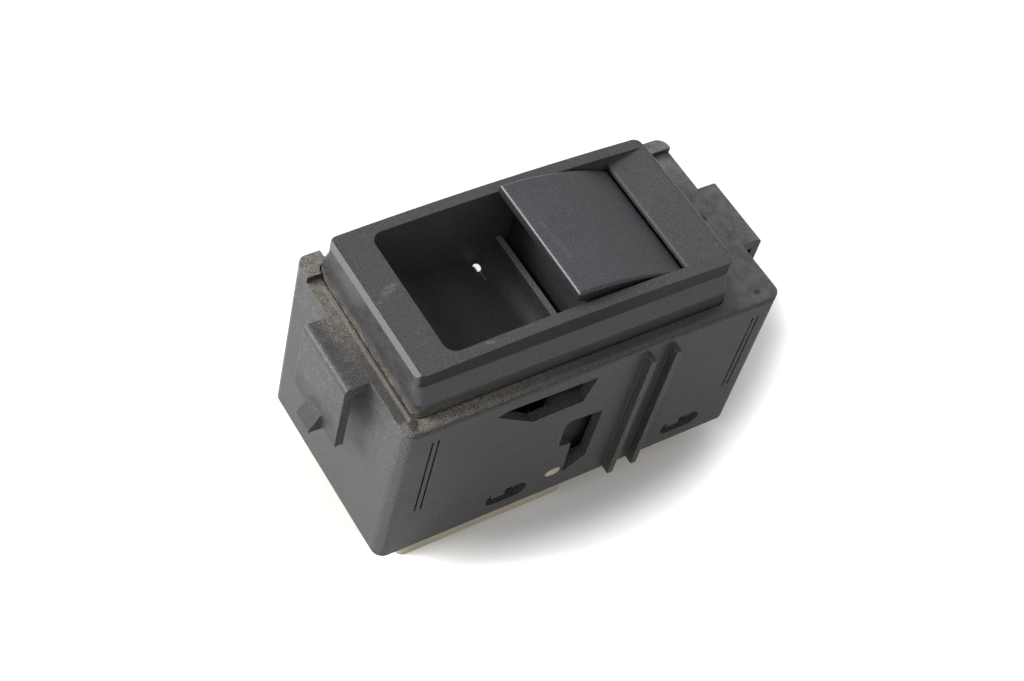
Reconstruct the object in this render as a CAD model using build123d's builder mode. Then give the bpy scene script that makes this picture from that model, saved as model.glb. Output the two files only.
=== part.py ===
"""Power window switch for a car door: a rocking pull-up / push-down key in a trim bezel,
on a snap-in case, with sliding contacts and a connector socket underneath.

Frame: X runs along the case with the key towards +X, Y across it, +Z up.
The origin is on the resting face under the base, below the middle of the case.
All lengths are in millimetres. Heights are above the case's lower edge, unless they are
said to be above or below the shelf; lift() turns them into model heights.
"""

import os
from math import cos, floor, radians, sin, sqrt

from build123d import *

os.makedirs("parts", exist_ok=True)

# ---------------------------------------------------------------- case
foot = 4.5  # the base stands this far below the case
case_length, case_width, case_height = 57.0, 29.2, 27.3
case_wall, case_corner = 1.5, 1.6
shelf = 1.5  # thickness of the case's top
shelf_round = 0.9  # along the long top edges
seat_depth, seat_gap = 0.5, 0.1  # the bezel sits in a shallow seat in the shelf
post_height = 0.95  # corner posts on the far side, X by Y
left_post, right_post, post_gap = (3.6, 3.4), (3.6, 2.0), 0.15

clip_width, clip_reach, clip_drop = 10.8, 3.4, 11.8  # snap tongue at each end
clip_plate, clip_tongue, clip_bend = 1.6, 1.25, 0.9
barb_width, barb_height, barb_reach, barb_land = 3.3, 3.2, 1.6, 0.6
barb_drop = 12.9  # the barb's lower face, below the shelf

rib_width, rib_reach = 0.85, 1.35  # keying ribs, near side
rib_at = (7.45, 11.4)
rib_top = 1.9  # below the shelf
groove_width, groove_depth = 1.2, 0.5  # guide grooves, each with a rib left in its middle
groove_rib = 0.55
groove_at, groove_start, groove_top = (-23.95, 25.2), 9.0, 2.9  # the last below the shelf
slot_length, slot_height, slot_middle = 6.4, 2.8, 3.4  # latch slots, round-ended
slot_at = (-9.4, 19.2)
slot_depth, slot_hole = 1.0, 2.2  # depth of the slots, and length of the hole at their key end
slot_tab, slot_tab_start = (2.3, 1.2), 0.8  # a tab left along the slot's upper edge
upper_window = [(-15.2, -3.1), (-13.5, -2.45), (-0.1, -2.8), (-1.3, -7.3), (-9.0, -7.5)]
lower_window = [
    (-2.9, 15.2), (-2.2, 16.1), (3.0, 15.6), (2.8, 5.4), (-0.45, 3.2), (-0.8, 10.2), (-2.8, 10.6)
]

# ---------------------------------------------------------------- bezel
shelf_side, shelf_well_end, shelf_key_end = 2.1, 2.2, 7.2  # shelf left around the bezel
bezel_corner, bezel_bow = 1.2, 0.8  # the key end is bowed outwards
flange_height, waist_height = 2.4, 4.9  # upright flange, then a slope up to the waist
waist_inset, waist_key_inset = 1.0, 0.15
crown_end, crown_middle = 7.1, 7.7  # top of the rim above the shelf
end_bevel, end_bevel_height = 0.4, 0.8
end_round = 1.1  # the key end's top edge

rim_side, rim_end, opening_corner = 2.6, 5.0, 1.6  # rim around the finger well
scoop_shoulder, scoop_depth = 5.7, 5.5  # above and below the shelf
scoop_knee, scoop_flat = (5.9, 2.5), 12.3  # X from the well's end, depth below the shelf
scoop_round = 2.6  # between the well's floor and the partition
partition_front, partition, partition_depth = 9.2, 0.9, 2.0  # X from the pivot, thickness
bay_depth = 8.3  # floor under the key, below the shelf
tub_wall = 1.5
tub_slope = (3.5, 1.0)  # where the underside's slope ends, and its start below the shelf
tub_clearance = 0.12
panel_length, panel_rise, panel_rim = 6.7, (6.1, 7.2), 0.8  # the sunk end panel
panel_round = 0.5
catch_length, catch_reach, catch_height = 4.0, 1.1, 1.5
catch_inset, catch_lead = 5.3, 6.3  # from the well's end, and from the pivot
shield_half, shield_clearance = 4.6, 0.1  # dust shields beside the contacts

# ---------------------------------------------------------------- key
pivot_lead, pivot_drop = 6.4, 1.8  # from the end panel, and below the shelf
trunnion_radius, trunnion_clearance, trunnion_gap = 2.0, 0.06, 0.25
key_reach, key_gap, key_tail_gap, key_tail_drop = 11.2, 0.35, 0.4, 0.8
key_lip_rise, key_middle_rise = 9.5, 8.45  # above the shelf
key_lip = 1.3
key_skin, key_side, key_end_wall, key_front_wall = 1.8, 1.5, 1.3, 1.2
key_leg, key_leg_rise = 7.3, 1.3  # the front leg, ahead of the pivot; its top
key_throat = (8.0, 5.3)  # under the lip, ahead of the pivot and above the shelf
key_drop = 5.3  # the key's lower edge, below the shelf
key_round = 0.45  # of the lip and the top's side edges
key_sweep_clearance = 0.35
lever_width, lever_thickness = 2.0, 1.8
lever_tip_radius, lever_tip_rise = 1.2, 4.0  # the tip's height above the slider's underside
lever_root, lever_waist_drop = 3.6, 5.8
lever_edge = 1.4  # slider left outside each lever
lever_swing = 1.7  # room for the levers in the bay floor, each way
lever_side_clearance = 0.2

# ---------------------------------------------------------------- springs
spring_sides = 4  # of the wire's section
return_spring_arm = 3.4
return_spring_radius, return_spring_wire, return_spring_turns = 1.25, 0.26, 3
return_spring_rise = 1.3
spring_pin, spring_pin_length, spring_boss = 0.75, 1.4, 1.7
contact_spring_radius, contact_spring_wire, contact_spring_turns = 1.0, 0.24, 2.5
contact_spring_length, contact_spring_clearance = 5.2, 0.15

# ---------------------------------------------------------------- slider and contacts
slider_length, slider_corner, slider_travel = 12.0, 0.8, 1.9
slider_lift, slider_clearance = 1.0, 0.3  # above the deck, and below the bay and beside
slider_recess = (7.6, 6.4, 2.6)  # lightening recess in the top: X, Y, depth
skid_width, skid_clearance = 0.65, 0.1
slot_clearance, slot_flare, slot_drop = 0.05, 1.2, 1.6
bridge_foot_at, bridge_length, bridge_width, bridge_thickness = 4.0, 9.6, 1.8, 0.35
bridge_foot, bridge_foot_taper, bridge_dimple = 1.2, 35, 0.5  # the feet, and how far they stand down
bridge_gap, bridge_play, bridge_headroom = 0.05, 0.12, 0.6

# ---------------------------------------------------------------- base and terminals
base_fit, base_plate, base_corner = 0.12, 2.2, 0.4
deck_height, deck_side_gap, deck_margin = 7.0, 0.6, 0.9
deck_left_rim, deck_right_rim = 1.8, 3.3  # past the socket, and past the slider
shroud_inset, shroud_side, shroud_lead = 4.5, 1.3, 6.3
skirt_inset, skirt_side, sole_corner = 3.1, 1.9, 1.2
socket_lead, socket_length, socket_roof, socket_side = 4.8, 14.4, 5.6, 1.7
key_rib_width, key_rib_depth = 1.6, 0.9  # keying rib in the socket
core_size, core_pitch, core_depth = 4.6, 5.8, 5.2  # core-outs under the base
core_rim, core_shift = 0.8, 0.15  # least wall outside them, and their shift towards the key end
rail_height, rail_width, rail_gap = 2.6, 1.1, 0.2
rail_edge, rail_start = 0.3, 0.4  # from the deck's edge, and past the lamp board
peg_length, peg_height, peg_at, peg_middle = 2.4, 1.6, -2.1, 4.0
peg_clearance, peg_sunk = 0.12, 0.1
upstand_left, upstand_right, upstand_height, upstand_gap = -4.4, -0.7, 5.6, 0.28
strip_width, strip_thickness = 1.3, 0.64
blade_width, blade_thickness, blade_tip, blade_clearance = 1.0, 0.64, 0.3, 0.04
row_inset = 4.2  # of the rows of blades, from the socket's ends
pad_start, pad_reach = 0.35, 2.1  # ends of the contact pads, from a bridge's foot at rest

# ---------------------------------------------------------------- lamp
board_overhang, board_edge, board_gap = 2.2, 0.3, 0.15
board_lift, board_thickness, board_post = 1.0, 0.8, 0.5
lamp_edge, lamp_heel = 1.0, 0.4  # from the board's edge, and from the well's rounded heel
led_radius, led_body, led_flange = 0.85, 2.2, 1.0
guide_radius, guide_gap, guide_stand, guide_fit, guide_bevel = 0.6, 0.3, 0.4, 0.03, 0.25
guide_flange_radius, guide_flange = 1.1, 0.8
resistor_length, resistor_width, resistor_height = 3.2, 1.6, 0.55
resistor_shift = (0.6, 0.95)  # X from the lamp, Y from the board's edge
pin_top = 0.4  # the lamp pins end this far above the board


def lift(height):
    """Model height of a height above the case's lower edge."""
    return foot + height


# Places that several pieces share: the case and the bezel's outline.
shelf_z = lift(case_height)
half_length, half_width = case_length / 2, case_width / 2
inner_half_width = half_width - case_wall
bezel_left, bezel_right = -half_length + shelf_well_end, half_length - shelf_key_end
bezel_width = case_width - 2 * shelf_side
# The well, the end panel, the pivot and the key.
opening_left, opening_half = bezel_left + rim_end, bezel_width / 2 - rim_side
panel_edge, panel_end = bezel_right - panel_length, bezel_right - panel_rim
panel_edge_height, panel_end_height = case_height + panel_rise[0], case_height + panel_rise[1]
pivot_x, pivot_height = panel_edge - pivot_lead, case_height - pivot_drop
pivot_z = lift(pivot_height)
scoop_bottom, bay_floor = case_height - scoop_depth, case_height - bay_depth
wall_front = pivot_x - partition_front
heel = wall_front - scoop_round
key_front, key_end = pivot_x - key_reach, panel_edge - key_tail_gap
key_end_height, key_bottom = panel_edge_height - key_tail_drop, case_height - key_drop
key_half = opening_half - key_gap
key_sweep = sqrt((key_end - pivot_x) ** 2 + (key_end_height - pivot_height) ** 2)
bay_radius = key_sweep + key_sweep_clearance
# The tub under them.
tub_left, tub_half = opening_left - tub_wall, opening_half + tub_wall
tub_right = pivot_x + bay_radius + tub_wall
scoop_under, bay_under = scoop_bottom - tub_wall, bay_floor - tub_wall
return_spring_top = case_height + return_spring_rise
# The deck, the slider between its rails, and the lanes of the terminals.
deck_z, deck_half = lift(deck_height), opening_half - deck_side_gap
strip_z, board_z = deck_z + strip_thickness, deck_z + board_lift
slider_half = deck_half - rail_edge - rail_width - rail_gap
slider_bottom, slider_top = deck_height + slider_lift, bay_under - slider_clearance
lever_at = slider_half - lever_edge - lever_thickness / 2
lever_tip_height = slider_bottom + lever_tip_rise
lane = (deck_half - deck_margin) / 4
# The socket and the sole around it.
shroud_left, shroud_width = -half_length + shroud_inset, case_width - 2 * shroud_side
socket_left = shroud_left + socket_lead
socket_right = socket_left + socket_length
shroud_right = socket_right + shroud_lead
socket_half = 3 * lane + socket_side
skirt_right, skirt_width = half_length - skirt_inset, shroud_width - 2 * skirt_side
row_back, row_front = socket_left + row_inset, socket_right - row_inset
deck_left = socket_left - deck_left_rim
deck_right = pivot_x + slider_length / 2 + deck_right_rim
# The lamp board beside the slider.
board_left = row_front - board_overhang
board_right = pivot_x - slider_length / 2 - slider_travel - slider_clearance
board_near = 2 * lane + strip_width / 2 + board_gap
board_far = deck_half + board_edge
lamp_x, lamp_y = heel - lamp_heel, board_far - lamp_edge


def about_pivot(radius, height):
    """Point (X, Z) on the +X side of a circle about the pivot, at a height above the case."""
    return pivot_x + sqrt(radius**2 - (height - pivot_height) ** 2), lift(height)


def at_angle(radius, degrees):
    """Point (X, Z) on a circle about the pivot, the angle measured up from +X."""
    return pivot_x + radius * cos(radians(degrees)), pivot_z + radius * sin(radians(degrees))


def bezel_outline(well_inset, key_inset, side_inset):
    """The bezel's outline, its key end bowed outwards."""
    left, right = bezel_left + well_inset, bezel_right - bezel_bow - key_inset
    half = bezel_width / 2 - side_inset
    with BuildSketch() as outline:
        with BuildLine():
            Polyline((right, half), (left, half), (left, -half), (right, -half))
            ThreePointArc((right, -half), (right + bezel_bow, 0), (right, half))
        make_face()
        fillet(outline.vertices(), bezel_corner)
    return outline.sketch


# ================================================================ case
with BuildPart() as clip:
    tongue_face = half_length + clip_reach
    with BuildSketch(Plane.XZ) as hook:
        with Locations((tongue_face, shelf_z)):
            Rectangle(clip_reach + 0.5, clip_drop, align=(Align.MAX, Align.MAX))
        fillet(hook.vertices().sort_by_distance((tongue_face, shelf_z))[0], clip_bend)
        with Locations((tongue_face - clip_tongue, shelf_z - clip_plate)):
            Rectangle(clip_reach, clip_drop, align=(Align.MAX, Align.MAX), mode=Mode.SUBTRACT)
    extrude(amount=clip_width / 2, both=True)
    with BuildSketch(Plane.XZ):
        with BuildLine():
            barb_z = shelf_z - barb_drop
            Polyline(
                (tongue_face - clip_tongue, barb_z),
                (tongue_face - clip_tongue, barb_z + barb_height),
                (tongue_face, barb_z + barb_height),
                (tongue_face + barb_reach, barb_z + barb_land),
                (tongue_face + barb_reach, barb_z),
                close=True,
            )
        make_face()
    extrude(amount=barb_width / 2, both=True)

with BuildPart() as housing:
    # A box with rounded long top edges and upright corners.
    with BuildSketch(Plane.YZ) as section:
        with Locations((0, foot)):
            Rectangle(case_width, case_height, align=(Align.CENTER, Align.MIN))
        fillet(section.vertices().group_by(Axis.Y)[-1], shelf_round)
    extrude(amount=half_length, both=True)
    with BuildSketch(Plane.XY.offset(foot)):
        RectangleRounded(case_length, case_width, case_corner)
    extrude(amount=case_height, mode=Mode.INTERSECT)
    # Two corner posts stand on the far side of the shelf.
    with BuildSketch(Plane.XY.offset(shelf_z - shelf_round)):
        with Locations((-half_length, half_width)):
            Rectangle(*left_post, align=(Align.MIN, Align.MAX))
        with Locations((half_length, half_width)):
            Rectangle(*right_post, align=(Align.MAX, Align.MAX))
        RectangleRounded(case_length, case_width, case_corner, mode=Mode.INTERSECT)
        add(bezel_outline(-post_gap, -post_gap, -post_gap), mode=Mode.SUBTRACT)
    extrude(amount=shelf_round + post_height)
    # It opens downwards, and its shelf has the bezel's seat and a hole for the bezel's tub.
    with BuildSketch(Plane.XY.offset(foot)):
        RectangleRounded(case_length - 2 * case_wall, case_width - 2 * case_wall, base_corner)
    extrude(amount=case_height - shelf, mode=Mode.SUBTRACT)
    with BuildSketch(Plane.XY.offset(shelf_z)):
        add(bezel_outline(-seat_gap, -seat_gap, -seat_gap))
    extrude(amount=-seat_depth, mode=Mode.SUBTRACT)
    with BuildSketch(Plane.XY.offset(shelf_z)):
        with Locations((tub_left - tub_clearance, 0)):
            tub_hole = tub_right - tub_left + 2 * tub_clearance
            Rectangle(tub_hole, 2 * (tub_half + tub_clearance), align=(Align.MIN, Align.CENTER))
    extrude(amount=-shelf, mode=Mode.SUBTRACT)
    add(clip.part)
    mirror(clip.part, about=Plane.YZ)
    # Ribs key the near side.
    with BuildSketch(Plane.XZ.offset(half_width - case_wall / 2)):
        with Locations(*[(x, foot) for x in rib_at]):
            Rectangle(rib_width, case_height - rib_top, align=(Align.CENTER, Align.MIN))
    extrude(amount=case_wall / 2 + rib_reach)
    # On both long sides: grooves with a rib left in the middle, latch slots with a tab left
    # along the top and a hole at the key end, and an oval hole for the base's peg.
    for side in (1, -1):
        wall_face = Plane.XZ.offset(side * half_width)
        with BuildSketch(wall_face):
            with Locations(*[(x, lift(groove_start)) for x in groove_at]):
                groove_length = case_height - groove_top - groove_start
                for width, mode in ((groove_width, Mode.ADD), (groove_rib, Mode.SUBTRACT)):
                    Rectangle(width, groove_length, align=(Align.CENTER, Align.MIN), mode=mode)
        extrude(amount=-side * groove_depth, mode=Mode.SUBTRACT)
        with BuildSketch(wall_face):
            with Locations(*[(x, lift(slot_middle)) for x in slot_at]):
                SlotOverall(slot_length, slot_height)
            tab_x, tab_z = slot_tab_start - slot_length / 2, lift(slot_middle + slot_height / 2)
            with Locations(*[(x + tab_x, tab_z) for x in slot_at]):
                Rectangle(*slot_tab, align=(Align.MIN, Align.MAX), mode=Mode.SUBTRACT)
        extrude(amount=-side * slot_depth, mode=Mode.SUBTRACT)
        with BuildSketch(wall_face):
            hole_x = (slot_length - slot_height) / 2
            with Locations(*[(x + hole_x, lift(slot_middle)) for x in slot_at]):
                Rectangle(slot_hole, slot_height, align=(Align.MAX, Align.CENTER))
            with Locations((peg_at, lift(peg_middle))):
                SlotOverall(peg_length + 2 * peg_clearance, peg_height + 2 * peg_clearance)
        extrude(amount=-side * case_wall, mode=Mode.SUBTRACT)
    # Two windows in the near side.
    windows = [[(x, shelf_z + z) for x, z in upper_window], [(x, lift(z)) for x, z in lower_window]]
    with BuildSketch(Plane.XZ.offset(half_width)):
        for window in windows:
            with BuildLine():
                Polyline(*window, close=True)
            make_face()
    extrude(amount=-case_wall, mode=Mode.SUBTRACT)


# ================================================================ bezel
# The finger well, the room for the key and the recess over the end panel, as one void.
with BuildPart() as void:
    over = shelf_z + crown_middle + 2
    with BuildSketch(Plane.XZ) as well:
        with BuildLine():
            knee = (opening_left + scoop_knee[0], shelf_z - scoop_knee[1])
            flat = (opening_left + scoop_flat, lift(scoop_bottom))
            shoulder, toe = shelf_z + scoop_shoulder, lift(scoop_bottom + scoop_round)
            Polyline((opening_left, over), (opening_left, shoulder))
            Spline((opening_left, shoulder), knee, flat, tangents=[(0.2, -1), (1, 0)])
            Line(flat, (heel, lift(scoop_bottom)))
            RadiusArc((heel, lift(scoop_bottom)), (wall_front, toe), -scoop_round)
            bay_corner = about_pivot(bay_radius, bay_floor)
            lip_angle_x = panel_edge - pivot_x
            lip_z = pivot_z + sqrt(bay_radius**2 - lip_angle_x**2)
            Polyline(
                (wall_front, toe),
                (wall_front, shelf_z - partition_depth),
                (wall_front + partition, shelf_z - partition_depth),
                (wall_front + partition, lift(bay_floor)),
                bay_corner,
            )
            ThreePointArc(bay_corner, at_angle(bay_radius, 0), (panel_edge, lip_z))
            Polyline(
                (panel_edge, lip_z),
                (panel_edge, lift(panel_edge_height)),
                (panel_end, lift(panel_end_height)),
                (panel_end, over),
                (opening_left, over),
            )
        make_face()
        panel_corner = (panel_edge, lift(panel_edge_height))
        fillet(well.vertices().sort_by_distance(panel_corner)[0], panel_round)
    extrude(amount=opening_half, both=True)
    with BuildSketch(Plane.XY.offset(foot)) as room:
        with Locations((opening_left, 0)):
            Rectangle(case_length, 2 * opening_half, align=(Align.MIN, Align.CENTER))
        fillet(room.vertices().group_by(Axis.X)[0], opening_corner)
    extrude(amount=case_height + crown_middle + 4, mode=Mode.INTERSECT)

with BuildPart() as bezel:
    # Flange, sloping skirt and upright rim.
    waist = bezel_outline(0, waist_key_inset, waist_inset)
    with BuildSketch(Plane.XY.offset(shelf_z - seat_depth)):
        add(bezel_outline(0, 0, 0))
    extrude(amount=seat_depth + flange_height)
    with BuildSketch(Plane.XY.offset(shelf_z + flange_height)):
        add(bezel_outline(0, 0, 0))
    with BuildSketch(Plane.XY.offset(shelf_z + waist_height)):
        add(waist)
    loft()
    with BuildSketch(Plane.XY.offset(shelf_z + waist_height)):
        add(waist)
    extrude(amount=crown_middle - waist_height)
    # The rim's top is crowned along X, rounded at the key end and bevelled at the well end.
    end_z, middle_z = shelf_z + crown_end, shelf_z + crown_middle
    rim_right = bezel_right - waist_key_inset
    with BuildSketch(Plane.XZ):
        with BuildLine():
            middle_x, crown_stop = (bezel_left + bezel_right) / 2, rim_right - end_round
            ThreePointArc((bezel_left, end_z), (middle_x, middle_z), (crown_stop, end_z))
            RadiusArc((crown_stop, end_z), (rim_right, end_z - end_round), end_round)
            Polyline(
                (rim_right, end_z - end_round),
                (bezel_right, end_z - end_round),
                (bezel_right, over),
                (bezel_left - 1, over),
                (bezel_left - 1, end_z),
                (bezel_left, end_z),
            )
        make_face()
        with BuildLine():
            slope = end_bevel_height / end_bevel
            Polyline(
                (bezel_left - 1, end_z - end_bevel_height - slope),
                (bezel_left + end_bevel + (over - end_z) / slope, over),
                (bezel_left - 1, over),
                close=True,
            )
        make_face()
    extrude(amount=bezel_width, both=True, mode=Mode.SUBTRACT)
    # The tub goes down through the shelf, under the well and under the key.
    with BuildSketch(Plane.XZ):
        with BuildLine():
            Polyline(
                (tub_left, shelf_z),
                (tub_left, shelf_z - shelf - tub_slope[1]),
                (opening_left + scoop_flat - tub_slope[0], lift(scoop_under)),
                (wall_front - 0.2, lift(scoop_under)),
                (wall_front - 0.2, lift(bay_under)),
                (tub_right, lift(bay_under)),
                (tub_right, shelf_z),
                close=True,
            )
        make_face()
    extrude(amount=tub_half, both=True)
    # Snap catches under the shelf, and shields that hang beside the contacts.
    for side in (1, -1):
        for x in (opening_left + catch_inset, pivot_x + catch_lead):
            with BuildSketch(Plane.YZ.offset(x)):
                with BuildLine():
                    under = shelf_z - shelf
                    Polyline(
                        (side * (tub_half - 0.3), under),
                        (side * (tub_half + catch_reach), under),
                        (side * (tub_half + catch_reach), under - 0.3),
                        (side * tub_half, under - catch_height),
                        (side * (tub_half - 0.3), under - catch_height),
                        close=True,
                    )
                make_face()
            extrude(amount=catch_length / 2, both=True)
    with BuildSketch(Plane.XY.offset(lift(base_plate + shield_clearance))):
        with Locations((0, tub_half), (0, -tub_half + tub_wall)):
            Rectangle(2 * shield_half, tub_wall, align=(Align.CENTER, Align.MAX))
    extrude(until=Until.NEXT)
    add(void.part, mode=Mode.SUBTRACT)
    # Bearing holes, slots for the levers, spring seats and the lamp's hole.
    with BuildSketch(Plane.XZ):
        with Locations((pivot_x, pivot_z)):
            Circle(trunnion_radius + trunnion_clearance)
    extrude(amount=tub_half, both=True, mode=Mode.SUBTRACT)
    with BuildSketch(Plane.XY.offset(lift(bay_floor))):
        with Locations((pivot_x, lever_at), (pivot_x, -lever_at)):
            slot_x = lever_width + 2 * lever_swing
            Rectangle(slot_x, lever_thickness + 4 * lever_side_clearance)
    extrude(amount=-tub_wall, mode=Mode.SUBTRACT)
    with BuildSketch(Plane.XY.offset(lift(bay_floor))):
        with Locations((pivot_x - return_spring_arm, 0), (pivot_x + return_spring_arm, 0)):
            Circle(spring_pin)
    extrude(amount=spring_pin_length)
    with BuildSketch(Plane.XY.offset(lift(scoop_under) - 1)):
        with Locations((lamp_x, lamp_y)):
            Circle(guide_radius + guide_fit)
    extrude(amount=tub_wall + 3, mode=Mode.SUBTRACT)

# ================================================================ key
with BuildPart() as key:
    with BuildSketch(Plane.XZ):
        with BuildLine():
            lip_top, lip_under = shelf_z + key_lip_rise, shelf_z + key_lip_rise - key_lip
            tail, heel_point = (key_end, lift(key_end_height)), about_pivot(key_sweep, key_bottom)
            crown = ((key_front + key_end) / 2, shelf_z + key_middle_rise)
            throat = (pivot_x - key_throat[0], shelf_z + key_throat[1])
            leg_x, leg_top = pivot_x - key_leg, shelf_z + key_leg_rise
            Line((key_front, lip_under), (key_front, lip_top))
            ThreePointArc((key_front, lip_top), crown, tail)
            ThreePointArc(tail, at_angle(key_sweep, 10), heel_point)
            Polyline(heel_point, (leg_x, lift(key_bottom)), (leg_x, leg_top))
            ThreePointArc((leg_x, leg_top), throat, (key_front, lip_under))
        make_face()
    extrude(amount=key_half, both=True)
    lip_edge = key.edges().filter_by(Axis.Y).sort_by_distance((key_front, 0, lip_top))[0]
    side_edges = key.edges().filter_by(GeomType.CIRCLE).sort_by(SortBy.LENGTH)[-2:]
    fillet([lip_edge, *side_edges], key_round)
    # Hollow, open below.
    with BuildSketch(Plane.XZ):
        with BuildLine():
            inner = key_sweep - key_end_wall
            back_top = at_angle(inner, 48)
            front_x = leg_x + key_front_wall
            front_top = (front_x, throat[1] + 1.2)
            above_pivot = (pivot_x, crown[1] - key_skin - 0.3)
            Polyline(back_top, above_pivot, front_top, (front_x, lift(key_bottom) - 1))
            back_bottom = about_pivot(inner, key_bottom - 1)
            Line((front_x, lift(key_bottom) - 1), back_bottom)
            ThreePointArc(back_bottom, at_angle(inner, 10), back_top)
        make_face()
    extrude(amount=key_half - key_side, both=True, mode=Mode.SUBTRACT)
    # Trunnions, two levers that drive the slider, and the spring bosses.
    for side in (1, -1):
        with BuildSketch(Plane.XZ.offset(side * (key_half - key_side))):
            with Locations((pivot_x, pivot_z)):
                Circle(trunnion_radius)
        extrude(amount=side * (key_side + tub_half - key_half - trunnion_gap))
        with BuildSketch(Plane.XZ.offset(side * lever_at)):
            with BuildLine():
                shank, waist_z = lever_width / 2, shelf_z - lever_waist_drop
                Polyline(
                    (pivot_x - lever_root, front_top[1]),
                    (pivot_x + lever_root, back_top[1]),
                    (pivot_x + shank, waist_z),
                    (pivot_x + shank, lift(lever_tip_height)),
                    (pivot_x - shank, lift(lever_tip_height)),
                    (pivot_x - shank, waist_z),
                    close=True,
                )
            make_face()
            with Locations((pivot_x, lift(lever_tip_height))):
                Circle(lever_tip_radius)
        extrude(amount=lever_thickness / 2, both=True)
    with BuildSketch(Plane.XY.offset(lift(return_spring_top))):
        with Locations((pivot_x - return_spring_arm, 0), (pivot_x + return_spring_arm, 0)):
            Circle(spring_boss)
        with Locations((pivot_x, 0)):
            Rectangle(2 * (return_spring_arm - 0.2), key_skin / 2)
    extrude(until=Until.NEXT)
    with BuildSketch(Plane.XY.offset(lift(return_spring_top))):
        with Locations((pivot_x - return_spring_arm, 0), (pivot_x + return_spring_arm, 0)):
            Circle(spring_pin)
    extrude(amount=-spring_pin_length)


# ================================================================ springs
def coil_spring(x, y, bottom, top, radius, wire, turns):
    """A compression spring with its wire's ends at two heights."""
    rise = top - bottom - wire
    with BuildPart() as spring:
        with BuildLine():
            coil = Helix(rise / turns, rise, radius, center=(x, y, bottom + wire / 2))
        with BuildSketch(Plane(coil @ 0, z_dir=coil % 0)):
            RegularPolygon(wire / 2, spring_sides)
        sweep(path=coil, is_frenet=True)
    return spring.part


return_springs = {
    "return_spring_front": pivot_x - return_spring_arm,
    "return_spring_rear": pivot_x + return_spring_arm,
}
springs = {}
for name, x in return_springs.items():
    springs[name] = coil_spring(
        x, 0, lift(bay_floor), lift(return_spring_top),
        return_spring_radius, return_spring_wire, return_spring_turns,
    )

# ================================================================ slider and contacts
bridge_z = strip_z + bridge_gap + bridge_dimple  # underside of the bridge's strip
spring_seat = bridge_z + bridge_thickness
with BuildPart() as slider:
    with BuildSketch(Plane.XY.offset(lift(slider_bottom))):
        with Locations((pivot_x, 0)):
            RectangleRounded(slider_length, 2 * slider_half, slider_corner)
    extrude(amount=slider_top - slider_bottom)
    with BuildSketch(Plane.XY.offset(lift(slider_top))):
        with Locations((pivot_x, 0)):
            Rectangle(slider_recess[0], slider_recess[1])
    extrude(amount=-slider_recess[2], mode=Mode.SUBTRACT)
    # Skids run on the deck.
    with BuildSketch(Plane.XY.offset(deck_z + skid_clearance)):
        for side in (1, -1):
            with Locations((pivot_x, side * (slider_half - skid_width / 2))):
                Rectangle(slider_length - 2 * slider_corner, skid_width)
    extrude(amount=lift(slider_bottom) - deck_z)
    # Slots that the levers' round ends push on, flared upwards.
    for side in (1, -1):
        with BuildSketch(Plane.XZ.offset(side * lever_at)):
            with BuildLine():
                reach = lever_tip_radius + slot_clearance
                tip_z = lift(lever_tip_height)
                Polyline(
                    (pivot_x - reach, tip_z - slot_drop),
                    (pivot_x + reach, tip_z - slot_drop),
                    (pivot_x + reach, tip_z + 0.8),
                    (pivot_x + reach + slot_flare, lift(slider_top)),
                    (pivot_x - reach - slot_flare, lift(slider_top)),
                    (pivot_x - reach, tip_z + 0.8),
                    close=True,
                )
            make_face()
        slot_half = lever_thickness / 2 + lever_side_clearance
        extrude(amount=slot_half, both=True, mode=Mode.SUBTRACT)
    # Pockets for the bridges, and deeper ones for their springs.
    with BuildSketch(Plane.XY.offset(lift(slider_bottom))):
        with Locations((pivot_x, lane), (pivot_x, -lane)):
            Rectangle(bridge_length + 2 * bridge_play, bridge_width + 2 * bridge_play)
    pocket_z = spring_seat + bridge_headroom
    extrude(amount=pocket_z - lift(slider_bottom), mode=Mode.SUBTRACT)
    with BuildSketch(Plane.XY.offset(lift(slider_bottom))):
        with Locations((pivot_x, lane), (pivot_x, -lane)):
            Circle(contact_spring_radius + contact_spring_wire / 2 + contact_spring_clearance)
    extrude(amount=spring_seat + contact_spring_length - lift(slider_bottom), mode=Mode.SUBTRACT)


def contact_bridge(y):
    """A bridging contact: a flat strip with a pressed foot near each end."""
    with BuildPart() as bridge:
        with BuildSketch(Plane.XY.offset(bridge_z)):
            with Locations((pivot_x, y)):
                Rectangle(bridge_length, bridge_width)
        extrude(amount=bridge_thickness)
        with BuildSketch(Plane.XY.offset(bridge_z)):
            with Locations((pivot_x - bridge_foot_at, y), (pivot_x + bridge_foot_at, y)):
                Rectangle(bridge_foot, bridge_foot)
        extrude(amount=-bridge_dimple, taper=bridge_foot_taper)
    return bridge.part


bridges = {"contact_bridge_up": lane, "contact_bridge_down": -lane}
contact_springs = {"contact_spring_up": lane, "contact_spring_down": -lane}
for name, y in contact_springs.items():
    springs[name] = coil_spring(
        pivot_x, y, spring_seat, spring_seat + contact_spring_length,
        contact_spring_radius, contact_spring_wire, contact_spring_turns,
    )

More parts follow.
